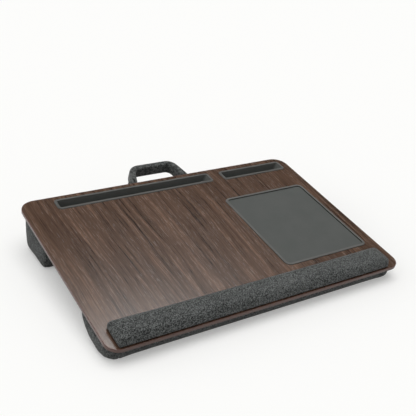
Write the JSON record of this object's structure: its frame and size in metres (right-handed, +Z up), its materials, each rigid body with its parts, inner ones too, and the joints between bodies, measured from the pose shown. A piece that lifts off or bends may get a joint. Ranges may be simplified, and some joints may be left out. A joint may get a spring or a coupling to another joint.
{
  "type": "lap desk",
  "caption": "Cushioned lap desk: walnut-look board on two fabric bolsters, with a tablet slot, a phone slot, a recessed mouse pad, a padded wrist rest and a swinging carry handle.",
  "frame": {"origin": "on the floor, under the middle of the whole desk's width and depth, handle included", "axes": "+X to the user's right, +Y away from the user towards the handle, +Z up; the board's top face rises 8 degrees towards +Y"},
  "size_m": [0.595, 0.4452, 0.0941],
  "materials": {
    "walnut": "satin walnut-look decorative sheet, grain from front to rear",
    "edge_band": "reddish-brown edge band",
    "fibreboard": "raw medium-density fibreboard",
    "backing": "dark balancing sheet",
    "grey_plastic": "fine-grained moulded plastic",
    "black_plastic": "matt base strip",
    "mouse_mat": "smooth matt tracking surface",
    "foam": "open-cell foam, not seen",
    "heather_fabric": "speckled grey woven cover",
    "handle_felt": "dark felted sleeve",
    "webbing": "black nylon webbing",
    "screw_steel": "zinc-plated screws"
  },
  "bodies": {
    "desk": {"board_core": "fibreboard", "wood_laminate": "walnut", "backing_sheet": "backing", "edge_band": "edge_band", "tablet_slot_tray": "grey_plastic", "phone_slot_tray": "grey_plastic", "mouse_pad_frame": "grey_plastic", "mouse_pad_mat": "mouse_mat", "mouse_pad_backing": "foam", "wrist_rest_base": "black_plastic", "wrist_rest_cover": "heather_fabric", "wrist_rest_foam": "foam", "rear_bolster_cover": "heather_fabric", "rear_bolster_foam": "foam", "rear_bolster_panel": "fibreboard", "front_bolster_cover": "heather_fabric", "front_bolster_foam": "foam", "front_bolster_panel": "fibreboard", "rear_panel_screws": "screw_steel", "front_panel_screws": "screw_steel", "handle_tail_left": "webbing", "handle_tail_right": "webbing"},
    "handle": {"handle_sleeve": "handle_felt", "handle_padding": "foam", "handle_webbing": "webbing"}
  },
  "joints": [
    {"name": "handle_swing", "type": "hinge", "parent": "desk", "child": "handle", "pos_m": [0, 0.1784, 0.0723], "axis": [1, 0, 0], "range_deg": [-90, 80], "stiffness_Nm_per_rad": 0.12}
  ]
}
